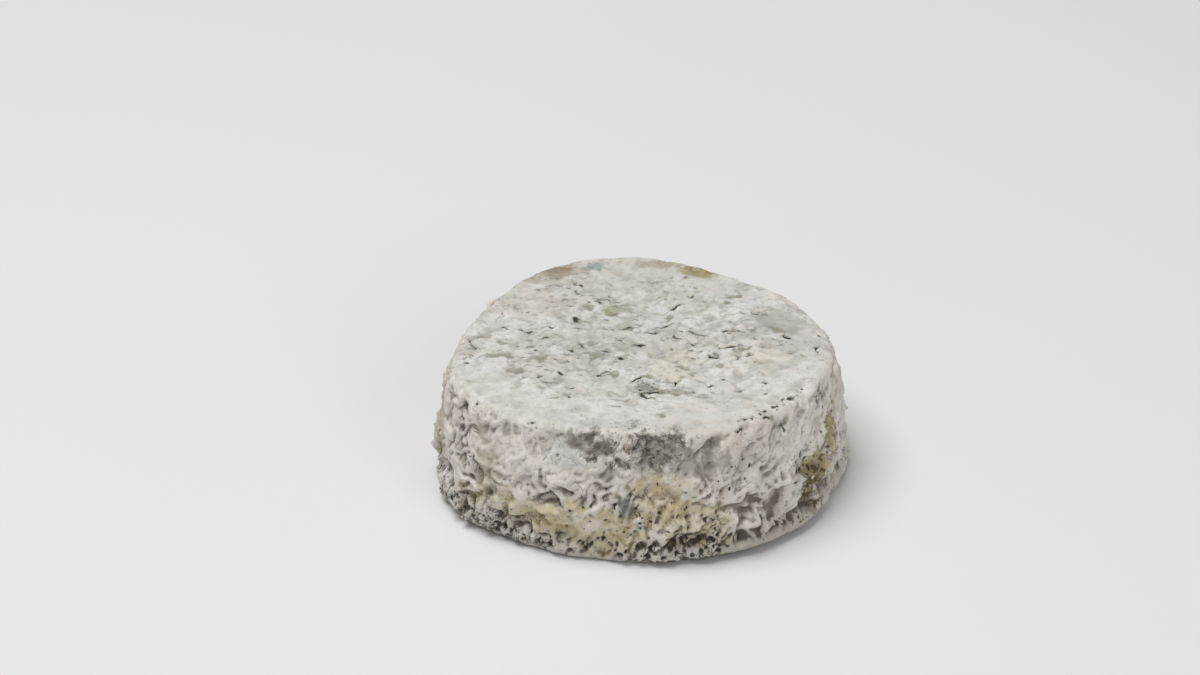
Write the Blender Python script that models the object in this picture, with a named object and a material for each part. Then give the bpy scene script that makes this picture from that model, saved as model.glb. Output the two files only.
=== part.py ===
"""Soft ripened goat cheese: a low drum, wider at the foot, with a wrinkled rind.

The drum starts as a square grid for the top. Its border is extruded into rows
for the rim, the wall and the foot, and the last row is closed by one flat face.
Every point is then moved to the drum, and the rind's folds push it in or out.
Metres, +Z up, the front toward -Y.
"""

import math

import bmesh
import bpy
from mathutils import Vector, noise

for old in list(bpy.data.objects):
    bpy.data.objects.remove(old)

# Size of the drum
HEIGHT = 0.0318
TOP_RADIUS = 0.0424
FOOT_RADIUS = 0.0452
BELLY = 0.0012
FOOT_ROUNDING = 0.0026

# The rim is a soft round, and crisp in the middle of the front
SOFT_RIM = 0.0027
CRISP_RIM = 0.0012
CRISP_QUARTER = math.radians(-92)
CRISP_QUARTER_WIDTH = math.radians(26)

# The top is higher at the front by this much for each metre, and a little uneven
TOP_SLOPE = 0.040
TOP_UNEVEN = 0.0005
TOP_UNEVEN_SPACING = 0.030

# How far each outline is from a circle: number of lobes, size, direction of one lobe
TOP_LOBES = (
    (2, 0.0005, math.radians(0)),
    (3, 0.0021, math.radians(-68)),
    (4, 0.0009, math.radians(96)),
)
FOOT_LOBES = (
    (2, 0.0012, math.radians(-20)),
    (3, 0.0011, math.radians(-58)),
    (4, 0.0009, math.radians(68)),
)
FOOT_WAVE = 0.0005
FOOT_WAVE_SPACING = 0.009

# A smooth rolled lip just above the foot, with a groove over it, on the right of the front
LIP_SIZE = 0.0007
LIP_HEIGHT = 0.0030
LIP_BREADTH = 0.0017
GROOVE_SHARE = 0.8
GROOVE_RISE = 2.2
LIP_CLEARANCE = 0.0030
LIP_QUARTER = math.radians(-45)
LIP_QUARTER_WIDTH = math.radians(38)

# Folds of the rind: deeper low down, deepest on the right of the front, dents on the top
FOLD_SPACING = 0.0050
HIGH_FOLD_DEPTH = 0.0008
LOW_FOLD_DEPTH = 0.0016
DEEP_FOLD_DEPTH = 0.0023
LOW_BAND = 0.012
FOLD_SLANT = math.radians(40)
FOLD_BEND = math.radians(65)
FOLD_LENGTH = 0.0032
DEEP_QUARTER = math.radians(-55)
DEEP_QUARTER_WIDTH = math.radians(42)
DEEP_HIGH_SHARE = 0.3
FOLD_STEEPNESS = 0.75
FOLD_PATCHINESS = 0.6
TOP_DENT_SPACING = 0.0065
TOP_DENT_DEPTH = 0.0005
TOP_DENT_GAIN = 2.0
TOP_DENT_START = 0.1
LUMP_SPACING = 0.014
LUMP_SIZE = 0.0006
SEED_SHIFT = Vector((3.7, 1.9, 8.3))

# Mesh density: cells along one side of the top, and rows below it
TOP_CELLS = 42
RIM_ROWS = 3
WALL_ROWS = 16
FOOT_ROWS = 4

# Colour of the bloom on the rind
RIND_COLOUR = (0.60, 0.575, 0.51, 1.0)
RIND_ROUGHNESS = 0.78


def outline(angle, radius, lobes):
    """Radius of an outline in this direction."""
    return radius + sum(size * math.cos(count * angle - turn) for count, size, turn in lobes)


def smooth(value):
    """Eases 0 to 1, with no corner at either end."""
    value = min(max(value, 0.0), 1.0)
    return value * value * (3.0 - 2.0 * value)


def top_height(x, y):
    """Height of the top at this place, before the dents."""
    place = Vector((x, y, 0.0)) / TOP_UNEVEN_SPACING + SEED_SHIFT
    return HEIGHT - TOP_SLOPE * y + TOP_UNEVEN * noise.noise(place)


def disc_polar(x, y):
    """Maps the square grid to rings: the share of the way out, and the direction."""
    share = max(abs(x), abs(y))
    if share == 0.0:
        return 0.0, 0.0
    if abs(x) >= abs(y):
        quarter = 0.0 if x > 0.0 else math.pi
        return share, quarter + math.pi / 4.0 * y / x
    quarter = math.pi / 2.0 if y > 0.0 else -math.pi / 2.0
    return share, quarter - math.pi / 4.0 * x / y


def on_drum(share, angle, row):
    """Place and outward direction on the smooth drum, and how much of the side shows there."""
    rim = SOFT_RIM + (CRISP_RIM - SOFT_RIM) * nearness(angle, CRISP_QUARTER, CRISP_QUARTER_WIDTH)
    ring = outline(angle, TOP_RADIUS, TOP_LOBES) - rim
    foot = outline(angle, FOOT_RADIUS, FOOT_LOBES)
    around = Vector((math.cos(angle), math.sin(angle), 0.0))
    foot += FOOT_WAVE * noise.noise(around * FOOT_RADIUS / FOOT_WAVE_SPACING + SEED_SHIFT)
    up = Vector((0.0, 0.0, 1.0))
    if row == 0:
        place = around * ring * share
        place.z = top_height(place.x, place.y)
        return place, up, 0.0
    shoulder = top_height(around.x * ring, around.y * ring) - rim
    if row <= RIM_ROWS:
        turn = math.pi / 2.0 * (1.0 - row / RIM_ROWS)
        outward = around * math.cos(turn) + up * math.sin(turn)
        place = around * ring + up * shoulder + outward * rim
        return place, outward, row / RIM_ROWS
    down = (row - RIM_ROWS) / WALL_ROWS
    if down <= 1.0:
        reach = (ring + rim) * (1.0 - down) + foot * down
        reach += BELLY * math.sin(math.pi * down)
        place = around * reach + up * (shoulder * (1.0 - down) + FOOT_ROUNDING * down)
        return place, around, 1.0
    turn = -math.pi / 2.0 * (row - RIM_ROWS - WALL_ROWS) / FOOT_ROWS
    outward = around * math.cos(turn) + up * math.sin(turn)
    place = around * (foot - FOOT_ROUNDING) + up * FOOT_ROUNDING + outward * FOOT_ROUNDING
    return place, outward, 1.0 - smooth(-turn / (math.pi / 2.0))


def nearness(angle, middle, width):
    """1 at the middle direction, fading to 0 about one and a half widths away."""
    off = math.remainder(angle - middle, 2.0 * math.pi) / width
    return math.exp(-off * off)


def fold_depth(place, angle):
    """Depth of the side's folds at this height and in this direction."""
    low = 1.0 - smooth((place.z - LOW_BAND / 2.0) / LOW_BAND)
    plain = HIGH_FOLD_DEPTH + (LOW_FOLD_DEPTH - HIGH_FOLD_DEPTH) * low
    deep = nearness(angle, DEEP_QUARTER, DEEP_QUARTER_WIDTH)
    deep *= DEEP_HIGH_SHARE + (1.0 - DEEP_HIGH_SHARE) * low
    patchy = 1.0 + FOLD_PATCHINESS * noise.noise(place / LUMP_SPACING - SEED_SHIFT)
    return plain * patchy + (DEEP_FOLD_DEPTH - plain) * deep


def folds(place, angle):
    """Winding folds: 0 in the hollows, 1 on the backs. Noise is averaged along their slant."""
    slant = FOLD_SLANT + FOLD_BEND * noise.noise(place / (2.0 * FOLD_SPACING))
    flat = Vector((-math.sin(angle), math.cos(angle), 0.0)) * math.cos(slant)
    along = flat + Vector((0.0, 0.0, math.sin(slant)))
    total = 0.0
    for shift in (-1.0, 0.0, 1.0):
        total += noise.noise((place + along * shift * FOLD_LENGTH / 2.0) / FOLD_SPACING + SEED_SHIFT)
    return smooth(0.5 + FOLD_STEEPNESS * total)


def lip(place, angle):
    """The rolled lip and the groove over it."""
    up = (place.z - LIP_HEIGHT) / LIP_BREADTH
    over = up - GROOVE_RISE
    roll = math.exp(-up * up) - GROOVE_SHARE * math.exp(-over * over)
    return LIP_SIZE * roll * nearness(angle, LIP_QUARTER, LIP_QUARTER_WIDTH)


def relief(place, angle, side):
    """How far the rind stands out from the smooth drum here."""
    lump = LUMP_SIZE * noise.noise(place / LUMP_SPACING + SEED_SHIFT)
    clear = smooth((place.z - LIP_HEIGHT) / LIP_CLEARANCE)
    calm = 1.0 - nearness(angle, LIP_QUARTER, LIP_QUARTER_WIDTH) * (1.0 - clear)
    fold = fold_depth(place, angle) * (folds(place, angle) - 0.5) * calm
    hollow = TOP_DENT_GAIN * noise.noise(place / TOP_DENT_SPACING) - TOP_DENT_START
    dent = -TOP_DENT_DEPTH * max(0.0, hollow)
    return (lump + fold + lip(place, angle)) * side + dent * (1.0 - side)


# The top as a square grid, and its border extruded into the rows below it
drum = bmesh.new()
bmesh.ops.create_grid(drum, x_segments=TOP_CELLS, y_segments=TOP_CELLS, size=1.0)
border = [edge for edge in drum.edges if edge.is_boundary]
for step in range(RIM_ROWS + WALL_ROWS + FOOT_ROWS):
    grown = bmesh.ops.extrude_edge_only(drum, edges=border)["geom"]
    moved = [item for item in grown if isinstance(item, bmesh.types.BMVert)]
    bmesh.ops.translate(drum, verts=moved, vec=(0.0, 0.0, -1.0))
    border = [item for item in grown if isinstance(item, bmesh.types.BMEdge)]
    border = [edge for edge in border if edge.is_boundary]
bmesh.ops.contextual_create(drum, geom=border)

# Each point takes its place on the drum, then the folds move it along its outward direction
for vert in drum.verts:
    share, angle = disc_polar(vert.co.x, vert.co.y)
    place, outward, side = on_drum(share, angle, round(-vert.co.z))
    height = relief(place, angle, side)
    if round(-vert.co.z) > RIM_ROWS + WALL_ROWS:
        height *= side
    vert.co = place + outward * height

# The outline is centred over the origin, standing on its flat foot
low = Vector([min(vert.co[axis] for vert in drum.verts) for axis in range(3)])
high = Vector([max(vert.co[axis] for vert in drum.verts) for axis in range(3)])
centre = (low + high) / 2.0
bmesh.ops.translate(drum, verts=drum.verts, vec=(-centre.x, -centre.y, -low.z))
bmesh.ops.recalc_face_normals(drum, faces=drum.faces)

mesh = bpy.data.meshes.new("cheese")
drum.to_mesh(mesh)
drum.free()
cheese = bpy.data.objects.new("cheese", mesh)
group = bpy.data.collections.new("Goat cheese")
bpy.context.scene.collection.children.link(group)
group.objects.link(cheese)

mesh.shade_smooth()
mesh.set_sharp_from_angle(angle=math.radians(55))

rind = bpy.data.materials.new("Bloomy rind")
rind.use_nodes = True
shader = rind.node_tree.nodes["Principled BSDF"]
shader.inputs["Base Color"].default_value = RIND_COLOUR
shader.inputs["Roughness"].default_value = RIND_ROUGHNESS
mesh.materials.append(rind)

print("size", [round(v * 1000, 1) for v in high - low], "mm,", len(mesh.polygons), "faces")
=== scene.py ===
# %% [markdown]
# # A goat cheese with an ash-coated rind
#
# This lesson models one whole soft goat cheese, a low drum about 95 mm across.
# Its rind is what the eye reads: white bloom over grey ash, winding folds on the
# side, fine creases on the top, and cream paste that shows low at the front.
# The CAD frame holds the plain solid, and this script puts a finer piece in its place.

# %% Load the frame
import math

import bmesh
import bpy
import numpy as np
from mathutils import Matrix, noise


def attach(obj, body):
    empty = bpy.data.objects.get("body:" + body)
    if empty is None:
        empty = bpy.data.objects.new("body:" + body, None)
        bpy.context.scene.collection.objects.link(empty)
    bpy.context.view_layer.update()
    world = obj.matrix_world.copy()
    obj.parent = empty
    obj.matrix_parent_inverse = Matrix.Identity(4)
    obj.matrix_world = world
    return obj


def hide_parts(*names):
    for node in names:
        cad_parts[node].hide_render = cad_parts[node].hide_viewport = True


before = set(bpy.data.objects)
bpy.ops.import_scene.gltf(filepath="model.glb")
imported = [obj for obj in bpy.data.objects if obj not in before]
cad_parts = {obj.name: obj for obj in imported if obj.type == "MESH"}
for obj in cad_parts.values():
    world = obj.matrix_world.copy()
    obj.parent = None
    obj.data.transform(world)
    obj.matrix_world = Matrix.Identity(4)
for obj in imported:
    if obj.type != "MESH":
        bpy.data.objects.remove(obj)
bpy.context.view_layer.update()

# %% [markdown]
# ## The drum's sizes
#
# A hand-turned cheese is never a true circle. Each outline here is a radius plus
# a few cosine lobes: two lobes make an oval, three a soft triangle, four a soft
# square. Mixing small amounts of them gives an honest, uneven round. The same
# numbers shape the CAD solid, so the fine piece lies on it.

# %% Name the sizes, in metres
HEIGHT = 0.0318
TOP_RADIUS = 0.0424
FOOT_RADIUS = 0.0452
BELLY = 0.0012
SOFT_RIM = 0.0027
CRISP_RIM = 0.0012
CRISP_QUARTER = math.radians(-92)
CRISP_QUARTER_WIDTH = math.radians(26)
FOOT_ROUNDING = 0.0026
TOP_SLOPE = 0.040
TOP_UNEVEN = 0.0005
TOP_UNEVEN_SPACING = 0.030
# Each lobe row: number of lobes, size, direction of one lobe
TOP_LOBES = (
    (2, 0.0005, math.radians(0)),
    (3, 0.0021, math.radians(-68)),
    (4, 0.0009, math.radians(96)),
)
FOOT_LOBES = (
    (2, 0.0012, math.radians(-20)),
    (3, 0.0011, math.radians(-58)),
    (4, 0.0009, math.radians(68)),
)
FOOT_WAVE = 0.0005
FOOT_WAVE_SPACING = 0.009
SEED_SHIFT = np.array((3.7, 1.9, 8.3))
print("the drum is %.1f mm high and %.1f mm over the foot" % (HEIGHT * 1000, FOOT_RADIUS * 2000))

# %% [markdown]
# ## Noise as a tool
#
# Blender's `mathutils.noise` gives a smooth random value at any point in space.
# Dividing the points by a spacing sets how far apart the bumps are. The first
# helper does it for a whole array of points, and `eased` turns any ramp into a
# soft 0-to-1 step.


# %% Helpers for fields over the surface
def grain(points, spacing, shift=0.0):
    """Smooth noise at each point, about -0.7 to 0.7, with bumps this far apart."""
    places = (points / spacing + shift).tolist()
    return np.array([noise.noise(place) for place in places])


def eased(value, low=0.0, high=1.0):
    """Rises smoothly from 0 at low to 1 at high."""
    ramp = np.clip((value - low) / (high - low), 0.0, 1.0)
    return ramp * ramp * (3.0 - 2.0 * ramp)


def nearness(angle, middle, width):
    """1 in one direction round the cheese, fading to 0 away from it."""
    off = np.angle(np.exp(1j * (angle - middle))) / width
    return np.exp(-off * off)


def outline(angle, radius, lobes):
    """Radius of an outline in each direction."""
    return radius + sum(size * np.cos(count * angle - turn) for count, size, turn in lobes)


def tell(name, lengths):
    """Prints the least and the most of these lengths, in mm."""
    print("%s: %.2f to %.2f mm" % (name, lengths.min() * 1000, lengths.max() * 1000))


# %% [markdown]
# ## A grid that wraps the drum
#
# A lathe would crowd thin triangles at the middle of the top. A square grid
# avoids that: its squares become rings on the disc, and its border is extruded
# into rows that run down the wall, round the foot and in under it. One flat face
# closes the middle of the underside. Cells stay near half a millimetre, so the
# finest folds are real geometry and not only shading.

# %% Build the raw grid
TOP_CELLS = 180
RIM_ROWS = 7
WALL_ROWS = 64
FOOT_ROWS = 8
UNDER_SHARES = (0.97, 0.93, 0.86, 0.74, 0.52, 0.22)
LAST_FOOT_ROW = RIM_ROWS + WALL_ROWS + FOOT_ROWS

raw = bmesh.new()
bmesh.ops.create_grid(raw, x_segments=TOP_CELLS, y_segments=TOP_CELLS, size=1.0)
border = [edge for edge in raw.edges if edge.is_boundary]
for step in range(LAST_FOOT_ROW + len(UNDER_SHARES)):
    grown = bmesh.ops.extrude_edge_only(raw, edges=border)["geom"]
    moved = [item for item in grown if isinstance(item, bmesh.types.BMVert)]
    bmesh.ops.translate(raw, verts=moved, vec=(0.0, 0.0, -1.0))
    border = [item for item in grown if isinstance(item, bmesh.types.BMEdge)]
    border = [edge for edge in border if edge.is_boundary]
bmesh.ops.contextual_create(raw, geom=border)

mesh = bpy.data.meshes.new("cheese rind")
raw.to_mesh(mesh)
raw.free()
grid = np.empty(len(mesh.vertices) * 3)
mesh.vertices.foreach_get("co", grid)
grid = grid.reshape(-1, 3)
row = np.rint(-grid[:, 2]).astype(int)
print("grid points:", len(grid), "rows:", row.max())


# %% Turn squares into rings
def disc_polar(x, y):
    """The share of the way out, and the direction, of each grid point."""
    eighth = math.pi / 4.0
    wide = np.abs(x) >= np.abs(y)
    longer = np.where(wide, x, y)
    safe = np.where(longer == 0.0, 1.0, longer)
    across = np.where(x > 0.0, 0.0, math.pi) + eighth * y / np.where(wide, safe, 1.0)
    along = np.where(y > 0.0, math.pi / 2.0, -math.pi / 2.0) - eighth * x / np.where(wide, 1.0, safe)
    return np.abs(longer), np.where(wide, across, along)


out_share, angle = disc_polar(grid[:, 0], grid[:, 1])
print("directions in degrees: %.0f to %.0f" % (math.degrees(angle.min()), math.degrees(angle.max())))

# %% [markdown]
# ## The smooth drum
#
# Every grid point gets a place on the smooth form and an outward direction. The
# top is a sloped disc, the rim and the foot are quarter rounds, and the wall
# between them leans out and swells a little, as soft cheese does under its own
# weight. `side` is 0 on the top and 1 on the wall, and it fades in on the rim.

# %% Directions and outlines
around = np.stack([np.cos(angle), np.sin(angle), np.zeros(len(angle))], axis=1)
up = np.array((0.0, 0.0, 1.0))
rim_rounding = SOFT_RIM + (CRISP_RIM - SOFT_RIM) * nearness(angle, CRISP_QUARTER, CRISP_QUARTER_WIDTH)
ring = outline(angle, TOP_RADIUS, TOP_LOBES) - rim_rounding
foot = outline(angle, FOOT_RADIUS, FOOT_LOBES)
foot += FOOT_WAVE * grain(around * FOOT_RADIUS, FOOT_WAVE_SPACING, SEED_SHIFT)
tell("foot radius", foot)


# %% The sloped top
def top_height(flat):
    """Height of the top at these places, before its dents."""
    return HEIGHT - TOP_SLOPE * flat[:, 1] + TOP_UNEVEN * grain(flat, TOP_UNEVEN_SPACING, SEED_SHIFT)


place = around * (ring * out_share)[:, None]
place[:, 2] = top_height(place)
outward = np.tile(up, (len(place), 1))
side = np.zeros(len(place))
shoulder = top_height(around * ring[:, None]) - rim_rounding
tell("shoulder", shoulder)


# %% The rounded rim
def turned_out(turn):
    """Outward directions on a rounded edge, lifted from level by this angle."""
    return around * np.cos(turn)[:, None] + up * np.sin(turn)[:, None]


on_rim = (row > 0) & (row <= RIM_ROWS)
rim_out = turned_out(math.pi / 2.0 * (1.0 - row / RIM_ROWS))
rim_place = around * ring[:, None] + up * shoulder[:, None] + rim_out * rim_rounding[:, None]
place[on_rim] = rim_place[on_rim]
outward[on_rim] = rim_out[on_rim]
side[on_rim] = (row / RIM_ROWS)[on_rim]
print("points on the rim:", on_rim.sum())

# %% The wall
down = (row - RIM_ROWS) / WALL_ROWS
on_wall = (down > 0.0) & (down <= 1.0)
reach = (ring + rim_rounding) * (1.0 - down) + foot * down + BELLY * np.sin(math.pi * down)
wall_place = around * reach[:, None] + up * (shoulder * (1.0 - down) + FOOT_ROUNDING * down)[:, None]
place[on_wall] = wall_place[on_wall]
outward[on_wall] = around[on_wall]
side[on_wall] = 1.0
print("points on the wall:", on_wall.sum())

# %% The rounded foot
on_foot = (row > RIM_ROWS + WALL_ROWS) & (row <= LAST_FOOT_ROW)
foot_turn = -math.pi / 2.0 * (row - RIM_ROWS - WALL_ROWS) / FOOT_ROWS
foot_out = turned_out(foot_turn)
foot_place = around * (foot - FOOT_ROUNDING)[:, None] + (up + foot_out) * FOOT_ROUNDING
place[on_foot] = foot_place[on_foot]
outward[on_foot] = foot_out[on_foot]
side[on_foot] = (1.0 - eased(-foot_turn / (math.pi / 2.0)))[on_foot]
print("points on the foot:", on_foot.sum())

# %% The underside
under = row > LAST_FOOT_ROW
inner = np.array((1.0,) + UNDER_SHARES)[np.clip(row - LAST_FOOT_ROW, 0, len(UNDER_SHARES))]
place[under] = (around * ((foot - FOOT_ROUNDING) * inner)[:, None])[under]
outward[under] = -up
print("points underneath:", under.sum())

# %% Measure the way past the rim
over_rim = np.minimum(row / RIM_ROWS, 1.0) * math.pi / 2.0 * rim_rounding
past_rim = np.where(row == 0, -(1.0 - out_share) * ring, over_rim)
past_rim += np.maximum(down, 0.0) * HEIGHT
tell("way past the rim", past_rim)

# %% [markdown]
# ## Swells of the outline
#
# Lobes alone leave the outline too smooth. A real cheese bulges where its mould
# was overfull and where the rind is thick. A few swells, each in one direction
# and at one height, bring the outline nearer the real one. Everything inside
# moves with them, so the top stays even.

# %% Let parts of the outline swell a little
EVEN_SWELL = 0.0002
SWELLS = (
    # direction and half-width in degrees, height and its reach in mm, size in mm
    (162, 30, 30, 11, 1.3),
    (-3, 14, 26, 7, 1.1),
    (38, 11, 30, 7, 1.1),
    (-156, 16, 2, 5, 0.9),
    (-45, 12, 2, 5, 1.1),
    (-108, 14, 1, 5, 0.8),
    (-56, 20, 31, 7, 0.9),
)
swell = np.full(len(place), EVEN_SWELL)
for middle, width, level, level_reach, size in SWELLS:
    near = nearness(angle, math.radians(middle), math.radians(width))
    swell += size / 1000.0 * near * np.exp(-(((place[:, 2] * 1000.0 - level) / level_reach) ** 2))
place += around * (swell * np.where(row == 0, out_share, np.where(under, inner, 1.0)))[:, None]
tell("swell", swell)

# %% [markdown]
# ## Folds, lip and lumps
#
# As the rind ripens it grows faster than the paste under it and buckles into
# winding folds. They come from noise that is averaged along a slanted direction,
# which stretches round bumps into ridges. They are shallow near the rim, deeper
# low down and deepest at the right of the front. The CAD solid has the same folds.
# A smooth rolled lip runs above the foot there, where the cheese settled in its
# mould; it stands out a little more here than on the solid.

# %% Large folds
FOLD_SPACING = 0.0050
HIGH_FOLD_DEPTH = 0.0008
LOW_FOLD_DEPTH = 0.0016
DEEP_FOLD_DEPTH = 0.0023
LOW_BAND = 0.012
FOLD_SLANT = math.radians(40)
FOLD_BEND = math.radians(65)
FOLD_LENGTH = 0.0032
FOLD_STEEPNESS = 0.75
FOLD_PATCHINESS = 0.6
DEEP_QUARTER = math.radians(-55)
DEEP_QUARTER_WIDTH = math.radians(42)
DEEP_HIGH_SHARE = 0.3
LUMP_SPACING = 0.014
LUMP_SIZE = 0.0006

z = place[:, 2]
low = 1.0 - eased(z, LOW_BAND / 2.0, LOW_BAND * 1.5)
plain_depth = HIGH_FOLD_DEPTH + (LOW_FOLD_DEPTH - HIGH_FOLD_DEPTH) * low
deep = nearness(angle, DEEP_QUARTER, DEEP_QUARTER_WIDTH) * (DEEP_HIGH_SHARE + (1.0 - DEEP_HIGH_SHARE) * low)
patchy = 1.0 + FOLD_PATCHINESS * grain(place, LUMP_SPACING, -SEED_SHIFT)
fold_depth = plain_depth * patchy + (DEEP_FOLD_DEPTH - plain_depth) * deep

slant = FOLD_SLANT + FOLD_BEND * grain(place, 2.0 * FOLD_SPACING)
level_way = np.stack([-np.sin(angle), np.cos(angle), np.zeros(len(angle))], axis=1)
along = level_way * np.cos(slant)[:, None] + up * np.sin(slant)[:, None]
total = 0.0
for way in (-1.0, 0.0, 1.0):
    total = total + grain(place + along * way * FOLD_LENGTH / 2.0, FOLD_SPACING, SEED_SHIFT)
folds = eased(0.5 + FOLD_STEEPNESS * total)
lump = LUMP_SIZE * grain(place, LUMP_SPACING, SEED_SHIFT)
tell("fold depth", fold_depth[on_wall])

# %% Rolled lip
LIP_SIZE = 0.0012
LIP_HEIGHT = 0.0030
LIP_BREADTH = 0.0015
LIP_CLEARANCE = 0.0030
GROOVE_SHARE = 0.95
GROOVE_RISE = 2.2
LIP_QUARTER = math.radians(-45)
LIP_QUARTER_WIDTH = math.radians(38)

rise = (z - LIP_HEIGHT) / LIP_BREADTH
lip_near = nearness(angle, LIP_QUARTER, LIP_QUARTER_WIDTH)
groove = GROOVE_SHARE * np.exp(-((rise - GROOVE_RISE) ** 2))
lip = LIP_SIZE * lip_near * (np.exp(-rise * rise) - groove)
calm = 1.0 - lip_near * (1.0 - eased(z, LIP_HEIGHT, LIP_HEIGHT + LIP_CLEARANCE))
tell("lip", lip)

# %% [markdown]
# ## Regions of the side
#
# The side isn't rough in the same way all round. Its lower left is fuzzy with
# crumbs, some places under the rim are nearly smooth, and the right of the front
# has the biggest folds. Each region is a soft mask, made once and used again.

# %% Soft masks for the regions
RIM_CALM = (0.0003, 0.0050)
RIM_SHARE = 0.25
FOOT_CALM = 0.0030
FOOT_SHARE = 0.4
LIP_SHARE = 0.1
FUZZY_QUARTER = math.radians(-140)
FUZZY_QUARTER_WIDTH = math.radians(34)
FUZZY_HEIGHTS = (0.003, 0.011)
SMOOTH_QUARTER = math.radians(-125)
SMOOTH_QUARTER_WIDTH = math.radians(30)
SMOOTH_HEIGHTS = (0.010, 0.018)
BIG_FOLD_QUARTER = math.radians(-48)
BIG_FOLD_QUARTER_WIDTH = math.radians(22)
BIG_FOLD_HEIGHTS = (0.013, 0.021)
EVEN_EDGE_WIDTH = math.radians(25)
UNEVEN_SPACING = 0.008
UNEVEN_SHIFT = 61.0
UNEVEN_EDGES = (-0.35, 0.35)
UNEVEN_LEAST = 0.6
UNEVEN_EXTRA = 0.8
CLEAN_PLACES = (
    # centre in mm, size in mm
    ((-32, -34, 25), (13, 13, 7)),
    ((-16, -41, 24), (8, 8, 6)),
    ((-5, -44, 22), (5, 6, 4.5)),
    ((25, -38, 25), (13, 11, 7)),
    ((-11, -43, 10), (8, 5, 4.5)),
    ((38, -15, 9), (7, 11, 6)),
    ((-30, 35, 22), (14, 12, 8)),
    ((8, 46, 12), (12, 8, 8)),
    ((-47, 8, 14), (6, 12, 9)),
    ((30, 36, 14), (12, 12, 8)),
    ((36, -26, 26), (16, 14, 8)),
    ((45, -5, 24), (6, 16, 9)),
    ((10, -42, 24), (7, 7, 5)),
    ((-44, -14, 21), (7, 13, 10)),
    ((-10, -44, 6), (11, 5, 3.5)),
)

fuzzy = nearness(angle, FUZZY_QUARTER, FUZZY_QUARTER_WIDTH) * (1.0 - eased(z, *FUZZY_HEIGHTS))
smooth_skin = nearness(angle, SMOOTH_QUARTER, SMOOTH_QUARTER_WIDTH) * eased(z, *SMOOTH_HEIGHTS)
big_folds = nearness(angle, BIG_FOLD_QUARTER, BIG_FOLD_QUARTER_WIDTH) * (1.0 - eased(z, *BIG_FOLD_HEIGHTS))
even_edge = nearness(angle, 0.0, EVEN_EDGE_WIDTH)
clean_skin = np.zeros(len(place))
for centre, size in CLEAN_PLACES:
    off = (place * 1000.0 - centre) / size
    clean_skin = np.maximum(clean_skin, np.exp(-(off * off).sum(axis=1)))
below_rim = RIM_SHARE + (1.0 - RIM_SHARE) * eased(past_rim, *RIM_CALM)
below_rim *= FOOT_SHARE + (1.0 - FOOT_SHARE) * eased(z, 0.0, FOOT_CALM)
off_lip = LIP_SHARE + (1.0 - LIP_SHARE) * calm
uneven = eased(grain(place, UNEVEN_SPACING, UNEVEN_SHIFT), *UNEVEN_EDGES)
uneven = UNEVEN_LEAST + UNEVEN_EXTRA * uneven
print("share of the wall that is clean: %.2f" % (clean_skin[on_wall] > 0.5).mean())

# %% [markdown]
# ## Crinkles, pillows and crests
#
# Smaller wrinkles sit on the folds. The absolute value of noise has sharp valleys
# where the noise crosses zero and round backs between them, like pillows. Turned
# over, it gives thin ridges instead. Averaging the noise along the folds first
# draws both out into wrinkles. Bending the points with slow noise keeps the
# pattern from looking regular.

# %% Bend the points and draw noise out
BEND_SPACING = 0.0042
BEND_SIZE = 0.0022
BEND_SHIFTS = (11.3, 27.9, 43.1)
swirl = np.stack([grain(place, BEND_SPACING, shift) for shift in BEND_SHIFTS], axis=1)
bent = place + BEND_SIZE * swirl
tell("bending", BEND_SIZE * swirl)


def drawn_out(spacing, length, samples, shift):
    """Noise averaged along the folds, so its bumps become wrinkles."""
    steps = np.linspace(-0.5, 0.5, samples) * length
    return sum(grain(bent + along * step, spacing, shift) for step in steps) / math.sqrt(samples)


# %% Patterns, each from 0 in its hollows
PILLOW_SPACING = 0.0036
PILLOW_SHIFT = 5.1
WRINKLE_SPACING = 0.0021
WRINKLE_LENGTH = 0.0048
WRINKLE_SAMPLES = 4
WRINKLE_SHIFT = 12.4
CRINKLE_SPACING = 0.0013
CRINKLE_THINNESS = 2.6
CRINKLE_SHIFT = 19.7
RIDGE_SPACING = 0.0038
RIDGE_LENGTH = 0.0050
RIDGE_SAMPLES = 3
RIDGE_SHIFT = 33.3
RIDGE_THINNESS = 2.4

pillow = np.abs(grain(bent, PILLOW_SPACING, PILLOW_SHIFT))
wrinkle = np.abs(drawn_out(WRINKLE_SPACING, WRINKLE_LENGTH, WRINKLE_SAMPLES, WRINKLE_SHIFT))
crinkle = CRINKLE_THINNESS * np.abs(grain(bent, CRINKLE_SPACING, CRINKLE_SHIFT))
crinkle = 1.0 - np.minimum(1.0, crinkle)
ridge = RIDGE_THINNESS * np.abs(drawn_out(RIDGE_SPACING, RIDGE_LENGTH, RIDGE_SAMPLES, RIDGE_SHIFT))
crest = (1.0 - np.minimum(1.0, ridge)) ** 2
print("means: pillow %.2f, wrinkle %.2f, crinkle %.2f" % (pillow.mean(), wrinkle.mean(), crinkle.mean()))

# %% How strong they are in each region
ROUGH_HIGH = 0.85
ROUGH_LOW_EXTRA = 0.35
SMOOTH_CUT = 0.3
CLEAN_CUT = 0.6
BIG_FOLD_CUT = 0.55
EVEN_EDGE_CUT = 0.45
CREST_SHARE = 0.75
BIG_CREST_SHARE = 0.7

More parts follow.
